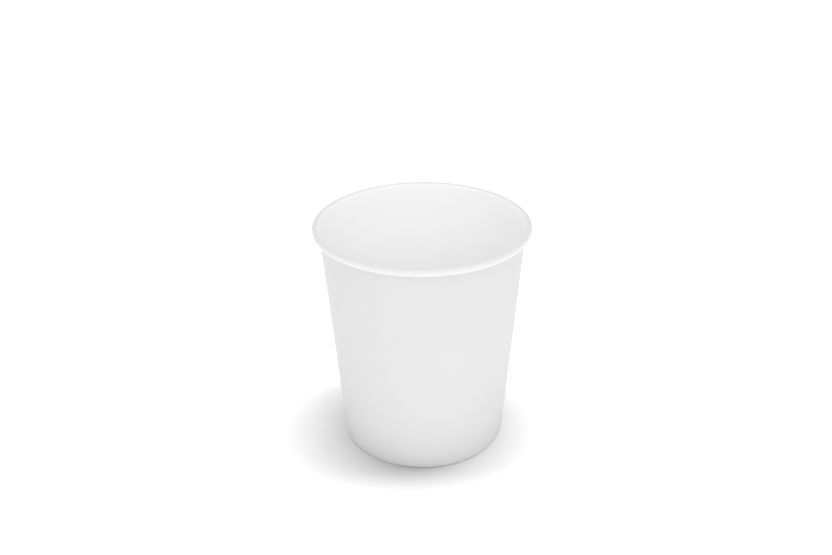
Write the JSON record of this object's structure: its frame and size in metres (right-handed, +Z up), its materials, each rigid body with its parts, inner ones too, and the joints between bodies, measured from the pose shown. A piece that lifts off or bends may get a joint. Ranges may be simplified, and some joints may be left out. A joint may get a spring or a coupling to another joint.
{
  "type": "paper coffee cup",
  "caption": "Single-wall paper cup with a tapered round wall, a rolled rim, a lapped side seam and a folded foot ring that grips a recessed flat bottom.",
  "frame": {"origin": "centre of the foot ring, on the table", "axes": "+Z up along the cup's axis, +X through the middle of the side seam"},
  "size_m": [0.073, 0.073, 0.0795],
  "materials": {
    "wall_board": "matte white board outside, smoother coated face inside",
    "bottom_board": "coated white board above, plain white board below"
  },
  "bodies": {
    "root": {"side_wall": "wall_board", "bottom_disc": "bottom_board"}
  },
  "joints": []
}
